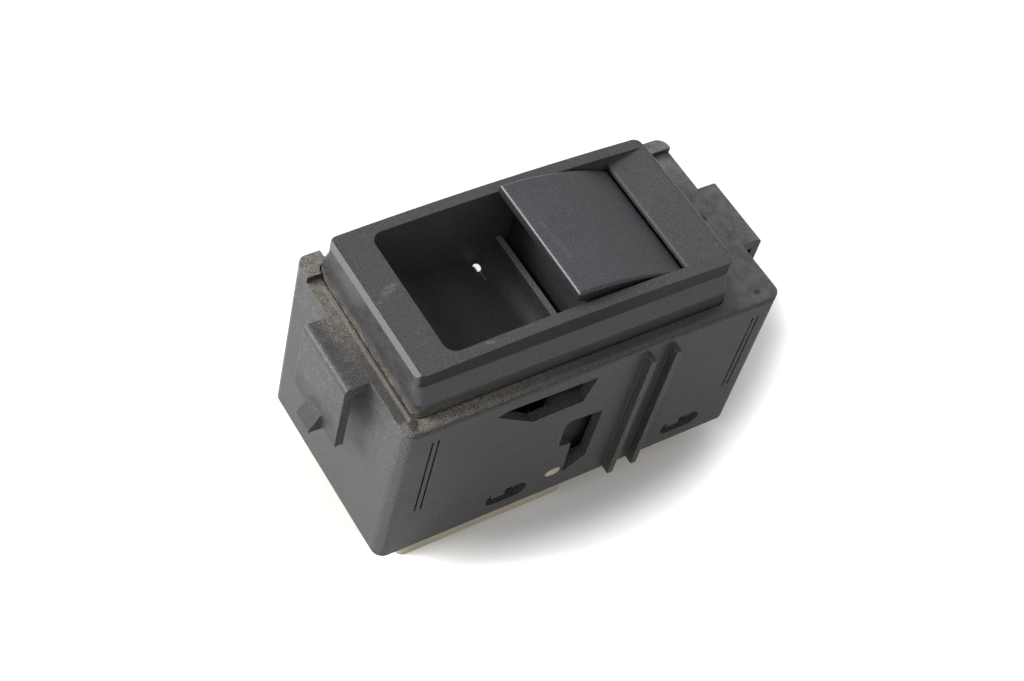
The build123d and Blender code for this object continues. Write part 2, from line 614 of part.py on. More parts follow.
# ================================================================ terminals
# Each terminal: its blade in the socket, its strips on the deck, and a pin up to the board.
# With the slider centred, each bridge joins its motor strip to its input pad. Moved one way,
# its other foot leaves the input pad for a battery pad.
left_foot, right_foot = pivot_x - bridge_foot_at, pivot_x + bridge_foot_at
lamp_pin, ground_pin = (row_front + 0.8, 3 * lane), (row_front, 4 * lane)
terminals = {
    "terminal_motor_up": ((row_back, lane), [[(left_foot + pad_reach, lane)]], False),
    "terminal_motor_down": ((row_back, -lane), [[(left_foot + pad_reach, -lane)]], False),
    "terminal_battery": (
        (row_front, 0),
        [
            [(right_foot - pad_reach, 0), (right_foot - pad_reach, lane)],
            [(right_foot + pad_reach, 0), (right_foot + pad_reach, -lane)],
        ],
        False,
    ),
    "terminal_up_input": (
        (row_front, 2 * lane),
        [[(right_foot + pad_start, 2 * lane), (right_foot + pad_start, lane),
          (right_foot + pad_reach, lane)]],
        False,
    ),
    "terminal_down_input": (
        (row_front, -2 * lane),
        [[(right_foot - pad_start, -2 * lane), (right_foot - pad_start, -lane),
          (right_foot - pad_reach, -lane)]],
        False,
    ),
    "terminal_lamp": ((row_front, 3 * lane), [[lamp_pin]], True),
    "terminal_ground": ((row_back, 3 * lane), [[(row_back, 4 * lane), ground_pin]], True),
}


def terminal(blade, paths, pin):
    """A stamped terminal: a blade down into the socket and flat strips on the deck."""
    with BuildPart() as piece:
        with BuildSketch(Plane.XY.offset(deck_z)):
            for path in paths:
                points = [blade, *path]
                for (x0, y0), (x1, y1) in zip(points, points[1:]):
                    with Locations(((x0 + x1) / 2, (y0 + y1) / 2)):
                        Rectangle(abs(x1 - x0) + strip_width, abs(y1 - y0) + strip_width)
        extrude(amount=strip_thickness)
        with BuildSketch(Plane.XY.offset(lift(blade_tip))):
            with Locations(blade):
                Rectangle(blade_width, blade_thickness)
        extrude(amount=deck_z - lift(blade_tip))
        chamfer(piece.faces().sort_by(Axis.Z)[0].edges(), blade_thickness / 4)
        if pin:
            with BuildSketch(Plane.XY.offset(strip_z)):
                with Locations(paths[0][-1]):
                    Rectangle(blade_thickness, blade_thickness)
            extrude(amount=board_lift - strip_thickness + board_thickness + pin_top)
    return piece.part


# ================================================================ base
with BuildPart() as base:
    with BuildSketch(Plane.XY.offset(foot)):
        plate_length = case_length - 2 * (case_wall + base_fit)
        RectangleRounded(plate_length, case_width - 2 * (case_wall + base_fit), base_corner)
    extrude(amount=base_plate)
    with BuildSketch(Plane.XY.offset(foot)):
        with Locations((deck_left, 0)):
            Rectangle(deck_right - deck_left, 2 * deck_half, align=(Align.MIN, Align.CENTER))
    extrude(amount=deck_height)
    # Below the case: the connector shroud, and a lower rim under the key end.
    with BuildSketch() as sole:
        with Locations((shroud_left, 0)):
            Rectangle(shroud_right - shroud_left, shroud_width, align=(Align.MIN, Align.CENTER))
        with Locations((shroud_right, 0)):
            Rectangle(skirt_right - shroud_right, skirt_width, align=(Align.MIN, Align.CENTER))
        ends = sole.vertices().group_by(Axis.X)
        fillet([*ends[0], *ends[-1]], sole_corner)
    extrude(amount=foot)
    with BuildSketch():
        with Locations((socket_left, 0)):
            Rectangle(socket_length, 2 * socket_half, align=(Align.MIN, Align.CENTER))
        with Locations((socket_left, 0)):
            depth = 2 * key_rib_depth
            Rectangle(depth, key_rib_width, mode=Mode.SUBTRACT)
    extrude(amount=lift(socket_roof), mode=Mode.SUBTRACT)
    with BuildSketch():
        core_gap = core_pitch - core_size
        columns, rows = [
            floor((span - 2 * core_rim + core_gap) / core_pitch)
            for span in (skirt_right - shroud_right, skirt_width)
        ]
        with Locations(((shroud_right + skirt_right) / 2 + core_shift, 0)):
            with GridLocations(core_pitch, core_pitch, columns, rows):
                Rectangle(core_size, core_size)
    extrude(amount=core_depth, mode=Mode.SUBTRACT)
    # Rails guide the slider.
    with BuildSketch(Plane.XY.offset(deck_z)):
        rail_left = board_right + rail_start
        for side in (1, -1):
            with Locations((rail_left, side * (slider_half + rail_gap + rail_width / 2))):
                Rectangle(deck_right - rail_left, rail_width, align=(Align.MIN, Align.CENTER))
    extrude(amount=rail_height)
    # An upstand on each side carries a peg that snaps into the case's oval hole.
    plate_half = inner_half_width - base_fit
    upstand_wall = plate_half - tub_half - upstand_gap
    for side in (1, -1):
        with BuildSketch(Plane.XY.offset(lift(base_plate))):
            with Locations((upstand_left, side * (plate_half - upstand_wall / 2))):
                upstand = upstand_right - upstand_left
                Rectangle(upstand, upstand_wall, align=(Align.MIN, Align.CENTER))
        extrude(amount=upstand_height - base_plate)
        with BuildSketch(Plane.XZ.offset(side * (plate_half - 0.3))):
            with Locations((peg_at, lift(peg_middle))):
                SlotOverall(peg_length, peg_height)
        extrude(amount=side * (half_width - peg_sunk - plate_half + 0.3))
    # Holes for the blades, and posts under the lamp board.
    with BuildSketch(Plane.XY.offset(deck_z)):
        with Locations(*[blade for blade, paths, pin in terminals.values()]):
            Rectangle(blade_width + 2 * blade_clearance, blade_thickness + 2 * blade_clearance)
    extrude(amount=-(deck_height - socket_roof), mode=Mode.SUBTRACT)
    with BuildSketch(Plane.XY.offset(deck_z)):
        with Locations((board_right - 1, board_near + 0.8), (board_right - 1, board_far - 0.8)):
            Circle(board_post)
        with Locations((board_left + 0.8, board_near + 0.8)):
            Circle(board_post)
    extrude(amount=board_lift)

# ================================================================ lamp
with BuildPart() as lamp_board:
    with BuildSketch(Plane.XY.offset(board_z)):
        with Locations((board_left, board_near)):
            board_x, board_y = board_right - board_left, board_far - board_near
            Rectangle(board_x, board_y, align=(Align.MIN, Align.MIN))
        with Locations(lamp_pin, ground_pin):
            hole = blade_thickness + 2 * blade_clearance
            Rectangle(hole, hole, mode=Mode.SUBTRACT)
    extrude(amount=board_thickness)

with BuildPart() as led:
    with BuildSketch(Plane.XY.offset(board_z + board_thickness)):
        with Locations((lamp_x, lamp_y)):
            Circle(led_flange)
    extrude(amount=0.4)
    with BuildSketch(Plane.XY.offset(board_z + board_thickness)):
        with Locations((lamp_x, lamp_y)):
            Circle(led_radius)
    extrude(amount=led_body)
led_top = board_z + board_thickness + led_body

with BuildPart() as resistor:
    with BuildSketch(Plane.XY.offset(board_z + board_thickness)):
        with Locations((lamp_x + resistor_shift[0], board_near + resistor_shift[1])):
            Rectangle(resistor_length, resistor_width)
    extrude(amount=resistor_height)

with BuildPart() as light_guide:
    guide_bottom, guide_top = led_top + guide_gap, lift(scoop_bottom) + guide_stand
    with BuildSketch(Plane.XY.offset(guide_bottom)):
        with Locations((lamp_x, lamp_y)):
            Circle(guide_radius)
    extrude(amount=guide_top - guide_bottom)
    chamfer(light_guide.faces().sort_by(Axis.Z)[-1].edges(), guide_bevel)
    with BuildSketch(Plane.XY.offset(lift(scoop_under) - guide_flange)):
        with Locations((lamp_x, lamp_y)):
            Circle(guide_flange_radius)
    extrude(amount=guide_flange)

# ================================================================ files
pieces = {
    "housing": housing.part,
    "bezel": bezel.part,
    "key": key.part,
    "slider": slider.part,
    "base": base.part,
    "lamp_board": lamp_board.part,
    "led": led.part,
    "resistor": resistor.part,
    "light_guide": light_guide.part,
}
pieces.update(springs)
for name, y in bridges.items():
    pieces[name] = contact_bridge(y)
for name, (blade, paths, pin) in terminals.items():
    pieces[name] = terminal(blade, paths, pin)
for name, piece in pieces.items():
    piece.label = name
    export_step(piece, f"parts/{name}.step")
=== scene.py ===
"""Looks of the power window switch: materials, dust, wear, springs, floor, light and camera."""
import math

import bpy
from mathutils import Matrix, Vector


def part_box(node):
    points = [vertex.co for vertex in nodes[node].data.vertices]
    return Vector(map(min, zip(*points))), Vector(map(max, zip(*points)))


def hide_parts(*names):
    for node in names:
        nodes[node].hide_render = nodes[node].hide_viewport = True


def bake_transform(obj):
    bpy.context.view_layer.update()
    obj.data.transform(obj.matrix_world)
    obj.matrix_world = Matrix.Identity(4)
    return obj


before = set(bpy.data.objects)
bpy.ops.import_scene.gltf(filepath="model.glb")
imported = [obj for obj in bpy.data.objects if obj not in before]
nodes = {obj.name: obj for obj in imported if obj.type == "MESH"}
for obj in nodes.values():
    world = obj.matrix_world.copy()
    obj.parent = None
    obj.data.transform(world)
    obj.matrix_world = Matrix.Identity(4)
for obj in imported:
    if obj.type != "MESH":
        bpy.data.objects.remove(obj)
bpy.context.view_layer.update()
scene = bpy.context.scene

MM = 0.001
PER_METRE = 1000.0

# ------------------------------------------------------------------ camera
CAMERA_PLACE = (-114.97 * MM, -113.28 * MM, 215.39 * MM)
CAMERA_TURN = (38.003, -10.813, -31.351)  # degrees
LENS, SENSOR_WIDTH = 67.06, 36.0  # millimetres

camera_data = bpy.data.cameras.new("camera")
camera_data.sensor_width = SENSOR_WIDTH
camera_data.lens = LENS
camera_data.clip_start = 10 * MM
camera = bpy.data.objects.new("camera", camera_data)
scene.collection.objects.link(camera)
camera.location = CAMERA_PLACE
camera.rotation_euler = [math.radians(angle) for angle in CAMERA_TURN]
scene.camera = camera

# ------------------------------------------------------------------ colours
# Linear colours. Case: its inside, lifted with painted light; its outer faces and its ledge, each with
# painted light and shade; the clip's lower tongue, darker towards its bottom.
CASE_INSIDE = (0.088, 0.083, 0.088)
CASE_NEAR = (0.043, 0.0418, 0.043)
CASE_NEAR_MIDDLE = (0.063, 0.0605, 0.058)
CASE_NEAR_RIGHT = (0.052, 0.050, 0.0475)
CASE_END = (0.060, 0.0605, 0.064)
CASE_LEDGE = (0.060, 0.060, 0.061)
CLIP_LOW = (0.036, 0.0365, 0.039)
# Bezel: its top, its near side below and under the rim with painted shade, its end wall's smudges, its
# well with painted light on the far wall and the partition's top.
BEZEL_TOP = (0.062, 0.063, 0.068)
BEZEL_SIDE_LOW = (0.054, 0.0515, 0.049)
BEZEL_SIDE_HIGH = (0.022, 0.0215, 0.0205)
BEZEL_SMUDGE = (0.034, 0.032, 0.032)
WELL = (0.052, 0.047, 0.054)
WELL_FAR_WALL_LIT = (0.095, 0.088, 0.098)
PARTITION_TOP_HIGHLIGHT = (0.205, 0.202, 0.205)
# Key: its top, and its sides painted darker as shade.
KEY_TOP = (0.064, 0.066, 0.073)
KEY_SIDES_SHADED = (0.034, 0.033, 0.036)
# Dust and marks, with painted light in the glow trail and the polished edge.
DUST = (0.268, 0.238, 0.195)
PALE_DUST = (0.23, 0.23, 0.23)
BRIGHT_GRAIN = (0.42, 0.39, 0.34)
DUST_LINE = (0.31, 0.29, 0.25)
EDGE_DUST = (0.20, 0.195, 0.187)
DARK_MARK = (0.022, 0.02, 0.02)
PARTING_LINE = (0.02, 0.02, 0.02)
GLOW_TRAIL = (0.5, 0.5, 0.52)
SCUFF = (0.22, 0.22, 0.225)
PALE_STREAK = (0.20, 0.20, 0.21)
WORN_EDGE = (0.13, 0.13, 0.135)
POLISHED_EDGE_HIGHLIGHT = (0.138, 0.139, 0.146)


# ------------------------------------------------------------------ node tools
class Nodes:
    """Adds nodes to one tree and links them."""

    def __init__(self, tree):
        self.tree = tree

    def add(self, kind, settings=None, **values):
        node = self.tree.nodes.new("ShaderNode" + kind)
        for key, value in (settings or {}).items():
            setattr(node, key, value)
        for key, value in values.items():
            self.put(node.inputs[key], value)
        return node

    def put(self, socket, value):
        if isinstance(value, bpy.types.NodeSocket):
            self.tree.links.new(value, socket)
        elif socket.type == "RGBA" and len(value) == 3:
            socket.default_value = (*value, 1.0)
        else:
            socket.default_value = value

    def parts(self, vector):
        return self.add("SeparateXYZ", Vector=vector).outputs

    def vector(self, operation, first, second=None, scale=None):
        node = self.add("VectorMath", {"operation": operation})
        self.put(node.inputs[0], first)
        if second is not None:
            self.put(node.inputs[1], second)
        if scale is not None:
            self.put(node.inputs["Scale"], scale)
        return node.outputs["Value" if operation in ("DISTANCE", "DOT_PRODUCT") else "Vector"]

    def math(self, operation, first, second=0.0, clamp=False):
        node = self.add("Math", {"operation": operation, "use_clamp": clamp})
        self.put(node.inputs[0], first)
        self.put(node.inputs[1], second)
        return node.outputs[0]

    def plus(self, first, second, clamp=False):
        return self.math("ADD", first, second, clamp)

    def times(self, *values, clamp=False):
        result = values[0]
        for value in values[1:]:
            result = self.math("MULTIPLY", result, value, clamp)
        return result

    def most(self, *values):
        result = values[0]
        for value in values[1:]:
            result = self.math("MAXIMUM", result, value)
        return result

    def size(self, value):
        return self.math("ABSOLUTE", value)

    def ramp(self, value, start, end, low=0.0, high=1.0, smooth=True):
        """low before start and high after end. start may lie above end."""
        if start > end:
            start, end, low, high = end, start, high, low
        kind = "SMOOTHSTEP" if smooth else "LINEAR"
        node = self.add("MapRange", {"interpolation_type": kind}, Value=value)
        limits = {"From Min": start, "From Max": end, "To Min": low, "To Max": high}
        for socket, number in limits.items():
            node.inputs[socket].default_value = number
        return node.outputs["Result"]

    def band(self, value, low, high, soft):
        """1 from low to high, fading to 0 over soft outside them."""
        return self.times(self.ramp(value, low - soft, low), self.ramp(value, high + soft, high))

    def mix(self, amount, first, second):
        node = self.add("Mix", {"data_type": "RGBA"})
        colour_a, colour_b = node.inputs[6], node.inputs[7]
        self.put(node.inputs["Factor"], amount)
        self.put(colour_a, first)
        self.put(colour_b, second)
        return node.outputs[2]

    def shade(self, colour, amount):
        """The colour made lighter or darker by amount, which is 1 for no change."""
        return self.vector("SCALE", colour, scale=amount)


class Surface(Nodes):
    """One material. Places and sizes are in millimetres of the part's own frame."""

    EDGE_FROM, EDGE_TO = 0.995, 0.88  # how far the rounded normal leans at an edge

    def __init__(self, name, roughness=0.4, metallic=0.0):
        self.material = bpy.data.materials.new(name)
        self.material.use_nodes = True
        super().__init__(self.material.node_tree)
        self.shader = self.tree.nodes["Principled BSDF"]
        self.shader.inputs["Roughness"].default_value = roughness
        self.shader.inputs["Metallic"].default_value = metallic
        place = self.add("TexCoord")
        self.point = self.vector("SCALE", place.outputs["Object"], scale=PER_METRE)
        self.x, self.y, self.z = self.parts(self.point)
        self.face_x, self.face_y, self.face_z = self.parts(place.outputs["Normal"])

    def noise(self, size, detail=2.0, harshness=0.5, seed=0.0, stretch=(1, 1, 1)):
        """Even noise from 0 to 1 around 0.5, with features of about size."""
        moved = self.vector("ADD", self.point, (seed, seed * 1.7, seed * 0.6))
        shaped = self.vector("MULTIPLY", moved, tuple(1.0 / (size * s) for s in stretch))
        node = self.add("TexNoise", Vector=shaped, Scale=1.0, Detail=detail, Roughness=harshness)
        return node.outputs["Fac"]

    def stroke(self, start, end, width, soft):
        """1 within width of the line from start to end, seen from above, fading over soft."""
        run = (end[0] - start[0], end[1] - start[1], 0.0)
        square = run[0] ** 2 + run[1] ** 2
        flat = self.vector("MULTIPLY", self.point, (1, 1, 0))
        away = self.vector("SUBTRACT", flat, (start[0], start[1], 0.0))
        along = self.math("DIVIDE", self.vector("DOT_PRODUCT", away, run), square, clamp=True)
        nearest = self.vector("SCALE", run, scale=along)
        return self.ramp(self.vector("DISTANCE", away, nearest), width + soft, width)

    def edges(self, radius, samples=6):
        """A rounded normal for sharp edges, and how much each point belongs to one."""
        bevel = self.add("Bevel", {"samples": samples}, Radius=radius * MM)
        rounded = bevel.outputs["Normal"]
        flat = self.add("NewGeometry").outputs["Normal"]
        closeness = self.vector("DOT_PRODUCT", rounded, flat)
        return rounded, self.ramp(closeness, self.EDGE_FROM, self.EDGE_TO)

    def bump(self, height, depth, normal=None):
        """Tilts the surface by height, 0 to 1, over depth in millimetres."""
        node = self.add("Bump", Height=height, Distance=depth * MM, Strength=1.0)
        if normal is not None:
            self.put(node.inputs["Normal"], normal)
        return node.outputs["Normal"]

    def finish(self, colour, roughness, normal):
        self.put(self.shader.inputs["Base Color"], colour)
        self.put(self.shader.inputs["Roughness"], roughness)
        self.put(self.shader.inputs["Normal"], normal)
        return self.material


# ------------------------------------------------------------------ black mouldings
def moulded(s, colour, spread):
    """The grain, the cloudy shade and the finely specked colour of every black moulding."""
    grain = s.noise(0.16, detail=2.0, harshness=0.6)
    cloud = s.noise(5.0, detail=5.0, harshness=0.6, seed=11.0)
    speck = s.noise(0.24, detail=2.0, harshness=0.8, seed=23.0)
    tone = s.plus(s.ramp(cloud, 0.3, 0.7, 1.0 - spread, 1.0 + spread),
                  s.ramp(speck, 0.25, 0.75, -spread * 8.0, spread * 8.0))
    return grain, cloud, s.shade(colour, tone)


def dust_grit(s):
    """The fine unevenness of settled dust."""
    return s.noise(0.21, detail=3.0, harshness=0.85, seed=8.0)


def case_plastic():
    s = Surface("case_plastic", 0.45)
    rounded, edge = s.edges(0.14)
    x, y, z = s.x, s.y, s.z
    up = s.ramp(s.face_z, 0.6, 0.9)
    above = s.ramp(z, 31.0, 31.3)
    on_top = s.times(up, above)
    outside_x = s.ramp(s.size(x), 28.1, 28.4)
    outside_y = s.ramp(s.size(y), 14.25, 14.5)
    outer = s.most(outside_x, outside_y, above)

    # Painted light and shade: each outer face has its own shade for how the lamp falls on it, the near
    # wall three along its length. The clip's tongue is darker towards its bottom.
    end_side = s.ramp(x, -28.0, -28.4)
    near_wall = s.times(s.ramp(y, -14.3, -14.5), s.ramp(x, -18.0, 4.0))
    clip_low = s.times(s.ramp(x, -31.3, -31.6), s.ramp(z, 26.0, 21.0))
    painted_face_shade = s.mix(end_side, CASE_NEAR, CASE_END)
    painted_face_shade = s.mix(above, painted_face_shade, CASE_LEDGE)
    painted_face_shade = s.mix(near_wall, painted_face_shade, s.mix(s.ramp(x, 9.0, 15.0), CASE_NEAR_MIDDLE, CASE_NEAR_RIGHT))
    painted_face_shade = s.mix(clip_low, painted_face_shade, CLIP_LOW)
    # Inner faces take CASE_INSIDE, paler than the outside: painted light that lifts the shade inside
    # the case.
    grain, cloud, colour = moulded(s, s.mix(outer, CASE_INSIDE, painted_face_shade), 0.07)

    # Settled dust: thick on the well's end of the ledge, thinner along the near side, and pale at the
    # key's end, where it is also painted light over the bezel's shadow.
    patches = s.noise(1.5, detail=5.0, harshness=0.7, seed=5.0)
    grit = dust_grit(s)
    end_ledge = s.times(s.ramp(x, -23.0, -26.0), s.ramp(x, -31.4, -29.2))
    far_part = s.times(s.ramp(y, -4.0, 9.0, 0.15, 0.78), s.ramp(x, -30.6, -28.4, 0.3, 1.0))
    near_ledge = s.times(s.ramp(y, -11.5, -12.8), s.ramp(x, 2.0, -25.0, 0.05, 0.55))
    key_ledge_dust_and_light = s.ramp(x, 20.0, 24.0, 0.05, 0.62)
    thickness = s.times(s.most(s.times(end_ledge, far_part), near_ledge, key_ledge_dust_and_light), on_top)
    gritty = s.times(s.ramp(grit, 0.34, 0.66, -0.9, 0.9), s.ramp(x, -2.0, 20.0, 1.0, 0.25))
    uneven = s.plus(s.ramp(patches, 0.32, 0.68, 0.4, 1.2), gritty)
    dust = s.times(thickness, uneven, clamp=True)
    colour = s.mix(dust, colour, s.mix(s.ramp(x, -10.0, 10.0), DUST, PALE_DUST))
    loose = s.noise(0.2, detail=2.0, harshness=0.9, seed=31.0)
    grains = s.times(s.ramp(loose, 0.57, 0.65), s.ramp(thickness, 0.1, 0.5), s.ramp(x, 10.0, -10.0))
    colour = s.mix(grains, colour, BRIGHT_GRAIN)
    # The line of dust left beside the bezel's end.
    line = s.times(s.stroke((-26.9, -12.4), (-26.9, 11.4), 0.08, 0.3), on_top)
    colour = s.mix(s.times(line, s.ramp(grit, 0.35, 0.6, 0.3, 0.9)), colour, DUST_LINE)
    # Dust caught on the edges of the clips and of the ledge.
    rim_dust = s.times(edge, outer, s.ramp(patches, 0.33, 0.58, 0.15, 0.9))
    colour = s.mix(rim_dust, colour, EDGE_DUST)
    # Grains that have fallen from the ledge onto the end face and its clip.
    fallen = s.times(s.ramp(loose, 0.57, 0.64), s.ramp(patches, 0.46, 0.58), end_side,
                     s.ramp(z, 17.0, 29.0), 0.7)
    colour = s.mix(fallen, colour, BRIGHT_GRAIN)

    # Dark spots on the ledge, and the mould's parting line down the end face.
    spots = s.most(
        s.stroke((-26.9, -13.4), (-26.6, -12.8), 0.35, 0.45),
        s.stroke((26.1, 0.5), (26.1, 0.9), 0.25, 0.35),
        s.stroke((25.4, -12.8), (25.7, -12.8), 0.2, 0.3),
    )
    colour = s.mix(s.times(spots, on_top, 0.75), colour, DARK_MARK)
    parting = s.times(s.band(y, -13.03, -12.97, 0.05), s.ramp(s.face_x, -0.6, -0.9),
                      s.ramp(z, 31.0, 30.6), 0.6)
    colour = s.mix(parting, colour, PARTING_LINE)

    roughness = s.plus(s.ramp(cloud, 0.3, 0.7, 0.42, 0.5), s.times(dust, 0.35))
    height = s.plus(s.times(grain, 0.6), s.times(grit, dust, 1.4))
    return s.finish(colour, roughness, s.bump(height, 0.014, rounded))


def handled(s, edge, cloud, colour):
    """The colour with its pale worn edges, and where the edges that face the hand are polished."""
    worn = s.times(edge, s.ramp(cloud, 0.42, 0.6, 0.05, 0.3))
    polished = s.times(s.band(s.face_x, -0.92, -0.4, 0.1), s.ramp(s.face_z, 0.3, 0.45),
                       s.ramp(s.z, 36.0, 37.0))
    return s.mix(worn, colour, WORN_EDGE), polished


def satin(s, cloud, wear, polished, polish):
    """A satin roughness, duller by wear and smoother by polish where it is polished."""
    roughness = s.plus(s.ramp(cloud, 0.3, 0.7, 0.34, 0.4), s.times(wear, 0.3))
    return s.math("SUBTRACT", roughness, s.times(polished, polish))


def bezel_plastic():
    s = Surface("bezel_plastic", 0.36)
    rounded, edge = s.edges(0.10)
    x, y, z = s.x, s.y, s.z

    # Painted shade: the near side is darker, darkest right under the rim.
    near_side = s.times(s.ramp(y, -11.0, -11.3), s.ramp(s.face_z, 0.25, 0.1))
    under_rim = s.times(near_side, s.ramp(z, 36.5, 36.9), s.ramp(x, 16.0, -4.0, 0.55, 1.0))
    base = s.mix(near_side, BEZEL_TOP, s.mix(s.ramp(z, 33.2, 36.4), BEZEL_SIDE_LOW, BEZEL_SIDE_HIGH))
    # The smudged end wall.
    end_wall = s.times(s.ramp(x, -24.5, -25.2), s.ramp(s.face_x, -0.75, -0.9))
    smudge = s.noise(2.2, detail=5.0, harshness=0.7, seed=41.0, stretch=(1, 1, 0.7))
    base = s.mix(s.times(end_wall, s.ramp(smudge, 0.3, 0.62, 1.0, 0.15)), base, BEZEL_SMUDGE)
    # The well's inside and all that lies below the ledge are darker. Painted light makes the well's far
    # wall paler and the partition's top much paler, a painted highlight on its ledge.
    within = s.times(s.ramp(s.size(y), 10.4, 10.1), s.ramp(x, -21.4, -21.0))
    inside = s.times(within, s.most(s.ramp(z, 37.4, 36.6), s.ramp(s.face_z, 0.6, 0.3)))
    well = s.most(inside, s.ramp(z, 31.4, 30.9))
    base = s.mix(well, base, s.mix(s.ramp(s.face_y, -0.5, -0.8), WELL, WELL_FAR_WALL_LIT))
    partition = s.times(s.band(x, -1.1, 0.0, 0.1), s.band(z, 29.6, 30.1, 0.2),
                        s.ramp(s.face_z, 0.7, 0.9))
    base = s.mix(partition, base, PARTITION_TOP_HIGHLIGHT)
    grain, cloud, colour = moulded(s, base, 0.05)

    # Dust at the foot of the end wall and along the near side.
    patches = s.noise(1.2, detail=5.0, harshness=0.7, seed=5.0)
    uneven = s.plus(s.ramp(patches, 0.35, 0.65, 0.2, 1.2), s.ramp(dust_grit(s), 0.36, 0.64, -0.9, 0.9))
    foot_end = s.times(s.ramp(x, -25.0, -25.8), s.ramp(z, 34.2, 31.9), 0.5)
    foot_near = s.times(s.ramp(y, -11.8, -12.6), s.ramp(z, 33.4, 31.8),
                        s.ramp(x, -8.0, -25.0, 0.06, 0.5))
    dust = s.times(s.most(foot_end, foot_near), uneven, clamp=True)
    colour = s.mix(dust, colour, s.mix(s.ramp(x, -26.0, 4.0), DUST, PALE_DUST))
    # The faint trail of light below the lamp's hole, a painted glint.
    trail = s.times(s.stroke((-3.88, 7.9), (-3.82, 6.4), 0.04, 0.14), s.ramp(z, 28.0, 27.0), 0.35)
    colour = s.mix(trail, colour, GLOW_TRAIL)
    # Scuffs on the rim beside the well.
    scratchy = s.noise(0.5, detail=5.0, harshness=0.8, seed=3.0, stretch=(1.6, 0.8, 1))
    scuffs = s.most(
        s.stroke((-24.0, 1.1), (-22.3, 2.0), 0.25, 0.55),
        s.times(s.stroke((-25.4, 0.1), (-23.9, 1.0), 0.05, 0.35), 0.5),
        s.times(s.stroke((-23.4, -5.8), (-22.7, -4.9), 0.05, 0.35), 0.3),
        s.times(s.stroke((-24.2, -7.3), (-22.7, -7.0), 0.03, 0.25), 0.35),
        s.stroke((-16.3, -10.3), (-15.6, -10.5), 0.12, 0.2),
    )
    scuff = s.times(scuffs, s.ramp(scratchy, 0.40, 0.62), s.ramp(z, 37.5, 38.0), 0.55)
    colour = s.mix(scuff, colour, SCUFF)

    colour, polished = handled(s, edge, cloud, colour)
    polished = s.times(polished, s.ramp(x, -22.0, -24.0))
    # The polished bevel is also painted paler: a painted highlight.
    colour = s.mix(polished, colour, POLISHED_EDGE_HIGHLIGHT)
    dull = s.most(well, s.times(within, s.band(x, 11.5, 14.8, 0.3)))
    wear = s.plus(s.plus(scuff, dust, clamp=True), s.times(dull, 0.8), clamp=True)
    wear = s.plus(wear, s.times(under_rim, 1.6))
    return s.finish(colour, satin(s, cloud, wear, polished, 0.09), s.bump(grain, 0.006, rounded))


def key_plastic():
    s = Surface("key_plastic", 0.36)
    rounded, edge = s.edges(0.10)
    # Faces that don't face up are darker: painted shade.
    base = s.mix(s.ramp(s.face_z, 0.35, 0.1), KEY_TOP, KEY_SIDES_SHADED)
    grain, cloud, colour = moulded(s, base, 0.05)
    # A faint paler line across the crown.
    streak = s.most(s.stroke((-1.35, 2.0), (-1.1, 0.0), 0.1, 0.45),
                    s.stroke((-1.1, 0.0), (-0.8, -3.8), 0.1, 0.45))
    wear = s.times(streak, s.ramp(cloud, 0.35, 0.55, 0.3, 1.0), s.ramp(s.face_z, 0.5, 0.9), 0.17)
    colour, polished = handled(s, edge, cloud, s.mix(wear, colour, PALE_STREAK))
    return s.finish(colour, satin(s, cloud, wear, polished, 0.12), s.bump(grain, 0.006, rounded))


# ------------------------------------------------------------------ inner parts
def natural_plastic(name, light, dark, roughness, size=0.4):
    """Unpigmented plastic with flow marks and fine filler specks."""
    s = Surface(name, roughness)
    flow = s.noise(4.0, detail=4.0, harshness=0.6, seed=2.0, stretch=(2.5, 1, 0.8))
    filler = s.noise(size, detail=3.0, harshness=0.7, seed=9.0)
    rounded, _ = s.edges(0.08, samples=4)
    colour = s.mix(s.ramp(flow, 0.3, 0.7), light, dark)
    colour = s.shade(colour, s.ramp(filler, 0.25, 0.75, 0.9, 1.06))
    rough = s.ramp(flow, 0.3, 0.7, roughness - 0.05, roughness + 0.08)
    return s.finish(colour, rough, s.bump(filler, 0.004, rounded))


def board_laminate():
    """Green solder mask over woven glass cloth."""
    s = Surface("board_laminate", 0.35)
    turn_per_mm = 2 * math.pi / 0.5  # the cloth's threads are 0.5 mm apart
    waves = [s.math("SINE", s.times(along, turn_per_mm)) for along in (s.x, s.y, s.z)]
    weave = s.ramp(s.times(waves[0], s.plus(waves[1], waves[2])), -1.2, 1.2)
    cloud = s.noise(2.5, detail=4.0, seed=4.0)
    colour = s.mix(weave, (0.030, 0.105, 0.045), (0.050, 0.150, 0.068))
    colour = s.shade(colour, s.ramp(cloud, 0.3, 0.7, 0.85, 1.15))
    return s.finish(colour, s.ramp(cloud, 0.3, 0.7, 0.3, 0.42), s.bump(weave, 0.004))


def glazed_ceramic():
    s = Surface("glazed_ceramic", 0.25)
    cloud = s.noise(0.7, detail=4.0, seed=6.0)
    fine = s.noise(0.1, detail=2.0, seed=7.0)
    colour = s.mix(s.ramp(cloud, 0.3, 0.7), (0.03, 0.03, 0.034), (0.06, 0.058, 0.06))
    return s.finish(colour, s.ramp(cloud, 0.3, 0.7, 0.2, 0.35), s.bump(fine, 0.003))


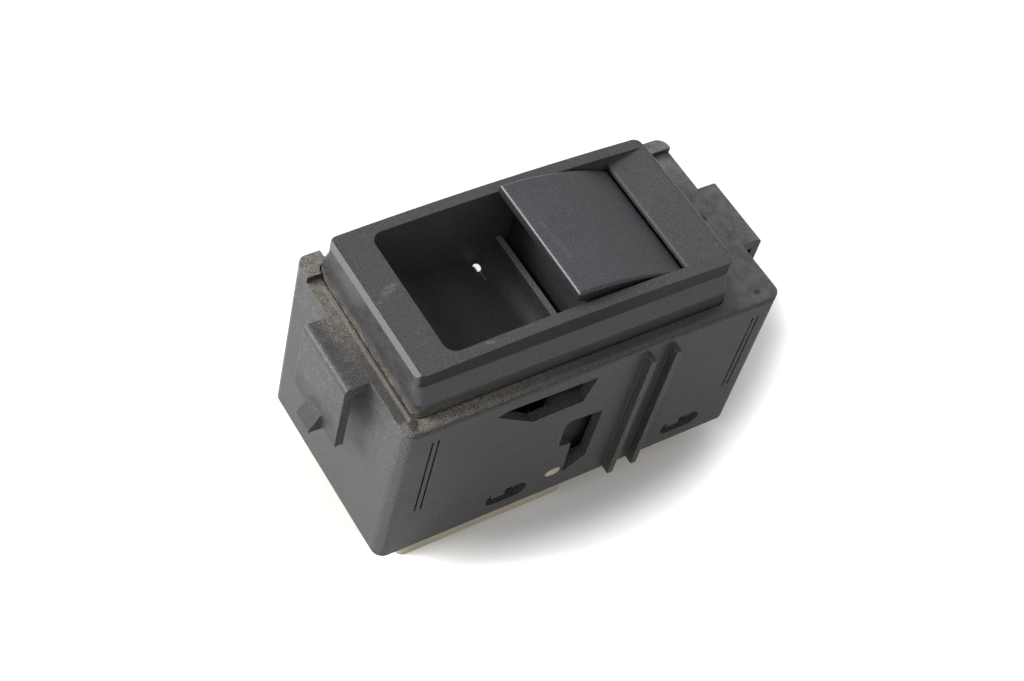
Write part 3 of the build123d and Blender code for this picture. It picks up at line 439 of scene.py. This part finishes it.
def guide_acrylic():
    """Clear acrylic over a dark well, with a bright drop of painted light: a white glint that also
    glows, though no lamp is lit.
    """
    s = Surface("guide_acrylic", 0.12)
    cloud = s.noise(0.8, detail=3.0, seed=12.0)
    drop = s.times(s.stroke((-4.05, 8.8), (-3.9, 8.25), 0.28, 0.18), s.ramp(s.z, 25.5, 26.0))
    clear = s.shade((0.09, 0.09, 0.095), s.ramp(cloud, 0.3, 0.7, 0.85, 1.15))
    s.put(s.shader.inputs["Emission Color"], s.mix(drop, (0, 0, 0), (0.9, 0.92, 0.95)))
    s.shader.inputs["Emission Strength"].default_value = 0.8
    return s.finish(s.mix(drop, clear, (0.95, 0.96, 0.98)), s.ramp(cloud, 0.3, 0.7, 0.08, 0.16),
                    s.bump(cloud, 0.005))


def led_epoxy():
    """Milky clear epoxy."""
    s = Surface("led_epoxy", 0.08)
    s.shader.inputs["Transmission Weight"].default_value = 0.6
    s.shader.inputs["IOR"].default_value = 1.49
    cloud = s.noise(1.5, detail=3.0, seed=12.0)
    colour = s.shade((0.90, 0.90, 0.86), s.ramp(cloud, 0.3, 0.7, 0.93, 1.0))
    return s.finish(colour, s.ramp(cloud, 0.3, 0.7, 0.08, 0.16), s.bump(cloud, 0.01))


def drawn_metal(name, bright, tarnish, roughness, stretch):
    """Metal with fine drawing lines and a thin uneven tarnish."""
    s = Surface(name, roughness, metallic=1.0)
    lines = s.noise(0.12, detail=3.0, harshness=0.6, seed=1.0, stretch=stretch)
    stain = s.noise(1.8, detail=5.0, harshness=0.65, seed=14.0)
    rounded, _ = s.edges(0.06, samples=4)
    colour = s.mix(s.ramp(stain, 0.4, 0.72), bright, tarnish)
    colour = s.shade(colour, s.ramp(lines, 0.25, 0.75, 0.9, 1.05))
    rough = s.plus(s.ramp(lines, 0.25, 0.75, roughness - 0.06, roughness + 0.06),
                   s.ramp(stain, 0.4, 0.72, 0.0, 0.15))
    return s.finish(colour, rough, s.bump(lines, 0.003, rounded))


looks = {
    "housing": case_plastic(),
    "bezel": bezel_plastic(),
    "key": key_plastic(),
    "slider": natural_plastic("natural_acetal", (0.80, 0.78, 0.71), (0.74, 0.71, 0.63), 0.38),
    "base": natural_plastic("cream_polyester", (0.66, 0.60, 0.47), (0.58, 0.52, 0.40), 0.5, 0.25),
    "lamp_board": board_laminate(),
    "led": led_epoxy(),
    "resistor": glazed_ceramic(),
    "light_guide": guide_acrylic(),
}
brass = drawn_metal("contact_brass", (0.78, 0.62, 0.36), (0.52, 0.38, 0.20), 0.28, (1, 1, 8))
steel = drawn_metal("spring_wire", (0.58, 0.58, 0.59), (0.40, 0.38, 0.36), 0.3, (6, 6, 1))
for name, node in nodes.items():
    if name.startswith(("terminal_", "contact_bridge")):
        look = brass
    elif "spring" in name:
        look = steel
    else:
        look = looks[name]
    if not node.material_slots:
        node.data.materials.append(look)
    for slot in node.material_slots:
        slot.material = look

# ------------------------------------------------------------------ return springs
WIRE = 0.26 * MM
FREE_TURNS, END_TURNS, EASE_TURNS = 3.0, 0.8, 0.15
STEPS_PER_TURN, WIRE_SIDES = 28, 8
SEAT_GAP = 0.02 * MM


def climb(turn):
    """How far up the coil a turn is, from 0 to 1. The wire lies flat over each end turn."""
    free = turn - END_TURNS
    if free <= 0:
        risen = 0.0
    elif free < EASE_TURNS:
        risen = free ** 2 / (2 * EASE_TURNS)
    elif free < FREE_TURNS - EASE_TURNS:
        risen = free - EASE_TURNS / 2
    else:
        left = max(FREE_TURNS - free, 0.0)
        risen = FREE_TURNS - EASE_TURNS - left ** 2 / (2 * EASE_TURNS)
    return risen / (FREE_TURNS - EASE_TURNS)


def wire_line(middle, radius, bottom, top):
    """The points of the wire's middle, from the coil's foot to its top."""
    turns = FREE_TURNS + 2 * END_TURNS
    steps = round(turns * STEPS_PER_TURN)
    line = []
    for step in range(steps + 1):
        turn = turns * step / steps
        angle = 2 * math.pi * turn
        line.append(Vector((
            middle.x + radius * math.cos(angle),
            middle.y + radius * math.sin(angle),
            bottom + (top - bottom) * climb(turn),
        )))
    return line


def wire_skin(line, middle):
    """The points and faces of a round wire along the line, closed at both ends."""
    points, faces = [], []
    last = len(line) - 1
    for step, point in enumerate(line):
        along = (line[min(step + 1, last)] - line[max(step - 1, 0)]).normalized()
        outward = Vector((point.x - middle.x, point.y - middle.y, 0)).normalized()
        across = along.cross(outward).normalized()
        for side in range(WIRE_SIDES):
            angle = 2 * math.pi * side / WIRE_SIDES
            offset = outward * math.cos(angle) + across * math.sin(angle)
            points.append(point + offset * WIRE / 2)
    for here in range(0, last * WIRE_SIDES, WIRE_SIDES):
        there = here + WIRE_SIDES
        for side in range(WIRE_SIDES):
            after = (side + 1) % WIRE_SIDES
            faces.append((here + side, here + after, there + after, there + side))
    faces.append(tuple(reversed(range(WIRE_SIDES))))
    faces.append(tuple(range(last * WIRE_SIDES, (last + 1) * WIRE_SIDES)))
    return points, faces


def return_coil(node):
    """A coil of round wire for a return spring, in place of the spring part, which is hidden. Its foot
    stays on the case.
    """
    low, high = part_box(node)
    middle = (low + high) / 2
    radius = (high.x - low.x - WIRE) / 2
    inset = WIRE / 2 + SEAT_GAP
    line = wire_line(middle, radius, low.z + inset, high.z - inset)
    points, faces = wire_skin(line, middle)
    mesh = bpy.data.meshes.new(node + "_coil")
    mesh.from_pydata(points, [], faces)
    mesh.shade_smooth()
    mesh.materials.append(steel)
    coil = bpy.data.objects.new(node + "_coil", mesh)
    scene.collection.objects.link(coil)
    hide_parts(node)
    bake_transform(coil)


for node in ("return_spring_front", "return_spring_rear"):
    return_coil(node)

# ------------------------------------------------------------------ floor
REACH = 3.0  # metres each way
LIT_FLOOR = (0.8, 0.8, 0.8)  # what the part is lit by
NEAR_FLOOR = (1.2, 1.2, 1.2)  # what the camera and reflections see close to the part
WIDE_FLOOR = (3.6, 3.6, 3.6)  # what the camera sees further out
NEAR_MIDDLE = (6.0, 44.6, 0.0)  # millimetres, as the rest
NEAR_RADIUS, WIDE_RADIUS = 61.0, 70.5
DARK_SIDE_SHADE = 0.8

floor_mesh = bpy.data.meshes.new("floor")
corners = [(-REACH, -REACH, 0), (REACH, -REACH, 0), (REACH, REACH, 0), (-REACH, REACH, 0)]
floor_mesh.from_pydata(corners, [], [(0, 1, 2, 3)])
floor = bpy.data.objects.new("floor", floor_mesh)
scene.collection.objects.link(floor)

paper = bpy.data.materials.new("floor_paper")
paper.use_nodes = True
n = Nodes(paper.node_tree)
n.tree.nodes.remove(n.tree.nodes["Principled BSDF"])
rays = n.add("LightPath").outputs
spot = n.vector("SCALE", n.add("TexCoord").outputs["Object"], scale=PER_METRE)
spot_x, spot_y, _ = n.parts(spot)
# The camera sees a paler sheet beyond the part's own near shadow.
wide = n.ramp(n.vector("DISTANCE", spot, NEAR_MIDDLE), NEAR_RADIUS, WIDE_RADIUS)
sheet = n.mix(n.times(wide, rays["Is Camera Ray"]), NEAR_FLOOR, WIDE_FLOOR)
# A painted shadow: the sheet is a shade deeper on the part's dark side, for the camera and in
# reflections.
beside = n.times(n.ramp(spot_x, 24.0, 32.0), n.ramp(spot_y, 8.0, -4.0))
painted_shadow_zone = n.times(n.most(n.ramp(spot_y, -10.0, -16.0), beside), n.ramp(spot_x, -24.0, -8.0))
sheet = n.shade(sheet, n.ramp(painted_shadow_zone, 0.0, 1.0, 1.0, DARK_SIDE_SHADE, smooth=False))
seen = n.add("BsdfDiffuse", Color=sheet)
lit = n.add("BsdfDiffuse", Color=LIT_FLOOR)
blend = n.add("MixShader")
n.put(blend.inputs["Fac"],
      n.most(rays["Is Camera Ray"], rays["Is Glossy Ray"], rays["Is Transmission Ray"]))
n.put(blend.inputs[1], lit.outputs[0])
n.put(blend.inputs[2], seen.outputs[0])
n.put(n.tree.nodes["Material Output"].inputs["Surface"], blend.outputs[0])
floor_mesh.materials.append(paper)

# ------------------------------------------------------------------ light
BRIGHT_SIDE = (-0.2, 0.55, 0.8)
ROOM_DARKEST, ROOM_BRIGHTEST = 0.02, 0.80
LAMP_TARGET = (0, 0, 20 * MM)
LAMP_SIDE = (-0.789, 0.425, 0.445)
LAMP_DISTANCE, LAMP_SIZE = 0.9, 0.38  # metres
LAMP_POWER = 7.2  # watts

# The room is brighter overhead and behind the part, and darker on the camera's side.
world = bpy.data.worlds.new("world")
scene.world = world
world.use_nodes = True
sky = Nodes(world.node_tree)
toward = sky.add("TexCoord").outputs["Generated"]
lean = sky.vector("DOT_PRODUCT", toward, Vector(BRIGHT_SIDE).normalized())
background = sky.tree.nodes["Background"]
sky.put(background.inputs["Color"], (1, 1, 1))
sky.put(background.inputs["Strength"],
        sky.ramp(lean, -1.0, 1.0, ROOM_DARKEST, ROOM_BRIGHTEST, smooth=False))

# One square soft lamp, facing the part.
light = bpy.data.lights.new("key_light", "AREA")
light.size = LAMP_SIZE
light.energy = LAMP_POWER
lamp = bpy.data.objects.new("key_light", light)
scene.collection.objects.link(lamp)
direction = Vector(LAMP_SIDE).normalized()
lamp.location = Vector(LAMP_TARGET) + direction * LAMP_DISTANCE
lamp.rotation_euler = direction.to_track_quat("Z", "Y").to_euler()

scene.view_settings.view_transform = "Standard"
